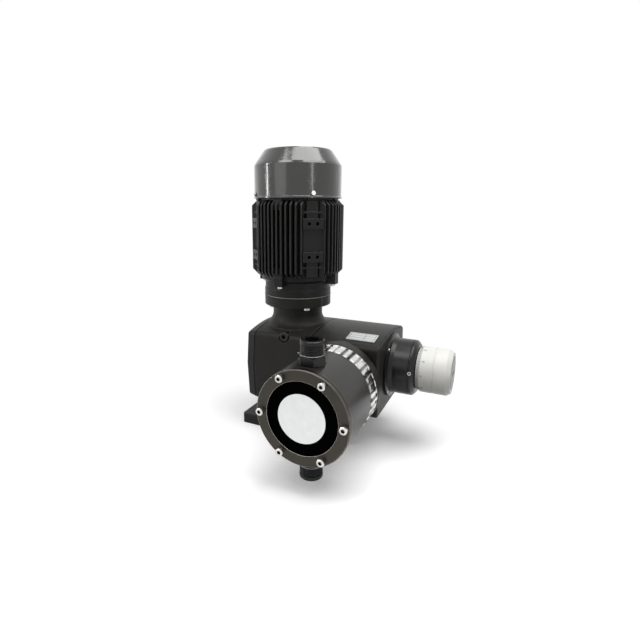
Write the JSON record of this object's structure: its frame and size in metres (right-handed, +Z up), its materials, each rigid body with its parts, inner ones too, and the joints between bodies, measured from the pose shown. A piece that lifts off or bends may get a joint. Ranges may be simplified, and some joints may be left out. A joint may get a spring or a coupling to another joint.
{
  "type": "diaphragm metering pump",
  "caption": "Motor-driven diaphragm metering pump: vertical finned motor on a worm gearbox, round pump head with two valves at the front, stroke knob at the side.",
  "frame": {"origin": "middle of the foot's four holes, at floor level", "axes": "+Z up along the motor, +X to the stroke knob, -Y to the pump head's front"},
  "size_m": [0.3466, 0.309, 0.432],
  "materials": {
    "black_casting": "satin black paint on die-cast aluminium",
    "motor_black": "matt black paint on finned aluminium",
    "cover_paint": "glossy dark grey paint on sheet steel",
    "zinc_steel": "bright zinc-plated and stainless fasteners",
    "machined_steel": "ground steel",
    "polished_ring": "polished stainless steel",
    "front_metal": "satin bead-blasted metal",
    "head_plastic": "machined black plastic",
    "black_disc": "matt black",
    "blank_silver": "bare silver foil",
    "valve_plastic": "moulded black plastic",
    "knob_white": "white moulded plastic",
    "grey_plastic": "grey moulded plastic",
    "bronze": "cast bronze",
    "copper_winding": "varnished copper wire",
    "core_steel": "laminated steel",
    "rubber_black": "black rubber",
    "gasket_grey": "grey gasket sheet",
    "diaphragm_white": "white fluoropolymer",
    "ceramic_ball": "polished ceramic"
  },
  "bodies": {
    "base": {"adjuster_housing": "black_casting", "base_foot": "black_casting", "base_screws": "zinc_steel", "blank_label": "blank_silver", "cable_gland": "grey_plastic", "cover_disc": "black_disc", "discharge_valve": "valve_plastic", "drive_end_shield": "motor_black", "fan_cover": "cover_paint", "fan_cover_screws": "zinc_steel", "flange_gasket": "gasket_grey", "front_ring": "front_metal", "gearbox_housing": "black_casting", "guide_bush": "bronze", "head_screws": "zinc_steel", "housing_gasket": "rubber_black", "index_sleeve": "valve_plastic", "lock_screw": "zinc_steel", "motor_frame": "motor_black", "motor_screws": "zinc_steel", "mounting_ring": "black_casting", "mounting_screws": "zinc_steel", "nameplate": "blank_silver", "oil_plug": "valve_plastic", "outer_bearing_rings": "machined_steel", "pump_head": "head_plastic", "rear_shield": "motor_black", "side_cover": "black_casting", "side_cover_gasket": "rubber_black", "side_cover_screws": "zinc_steel", "sleeve_screws": "zinc_steel", "spacer_ring": "polished_ring", "stator_core": "core_steel", "stator_windings": "copper_winding", "suction_valve": "valve_plastic", "terminal_block": "grey_plastic", "terminal_box": "motor_black", "terminal_lid": "motor_black", "terminal_lid_screws": "zinc_steel", "tie_screws": "zinc_steel", "worm_seal": "rubber_black"},
    "rotor": {"motor_shaft": "machined_steel", "rotor_core": "core_steel", "cooling_fan": "valve_plastic", "worm": "machined_steel", "rotor_bearing_rings": "machined_steel"},
    "wheel_shaft": {"worm_wheel": "bronze", "eccentric_shaft": "machined_steel", "eccentric_ring": "machined_steel", "shaft_bearing_rings": "machined_steel"},
    "pushrod": {"pushrod": "machined_steel", "clamp_discs": "machined_steel", "return_spring": "machined_steel", "diaphragm": "diaphragm_white"},
    "stop": {"stop_cone": "machined_steel"},
    "knob": {"spindle": "machined_steel", "knob": "knob_white", "knob_cap": "grey_plastic"},
    "upper_ball": {"discharge_ball": "ceramic_ball"},
    "lower_ball": {"suction_ball": "ceramic_ball"}
  },
  "joints": [
    {"name": "rotor_spin", "type": "hinge", "parent": "base", "child": "rotor", "pos_m": [-0.014, 0, 0.3], "axis": [0, 0, 1], "continuous": true},
    {"name": "shaft_spin", "type": "hinge", "parent": "base", "child": "wheel_shaft", "pos_m": [0, 0.034, 0.105], "axis": [1, 0, 0], "continuous": true},
    {"name": "pushrod_slide", "type": "slide", "parent": "base", "child": "pushrod", "axis": [0, -1, 0], "range_m": [0, 0.008], "stiffness_N_per_m": 4000, "springref_m": -0.01, "deforming": ["return_spring", "diaphragm"]},
    {"name": "knob_turn", "type": "hinge", "parent": "stop", "child": "knob", "pos_m": [0, 0, 0.118], "axis": [1, 0, 0], "range_deg": [0, 1800]},
    {"name": "stop_slide", "type": "slide", "parent": "base", "child": "stop", "axis": [1, 0, 0], "range_m": [0, 0.01]},
    {"name": "discharge_ball_lift", "type": "slide", "parent": "base", "child": "upper_ball", "axis": [0, 0, 1], "range_m": [0, 0.003]},
    {"name": "suction_ball_lift", "type": "slide", "parent": "base", "child": "lower_ball", "axis": [0, 0, 1], "range_m": [0, 0.003]}
  ],
  "couplings": [
    {"joint": "shaft_spin", "follows": "rotor_spin", "ratio": 0.041667},
    {"joint": "stop_slide", "follows": "knob_turn", "m_per_rad": 0.00031828}
  ]
}
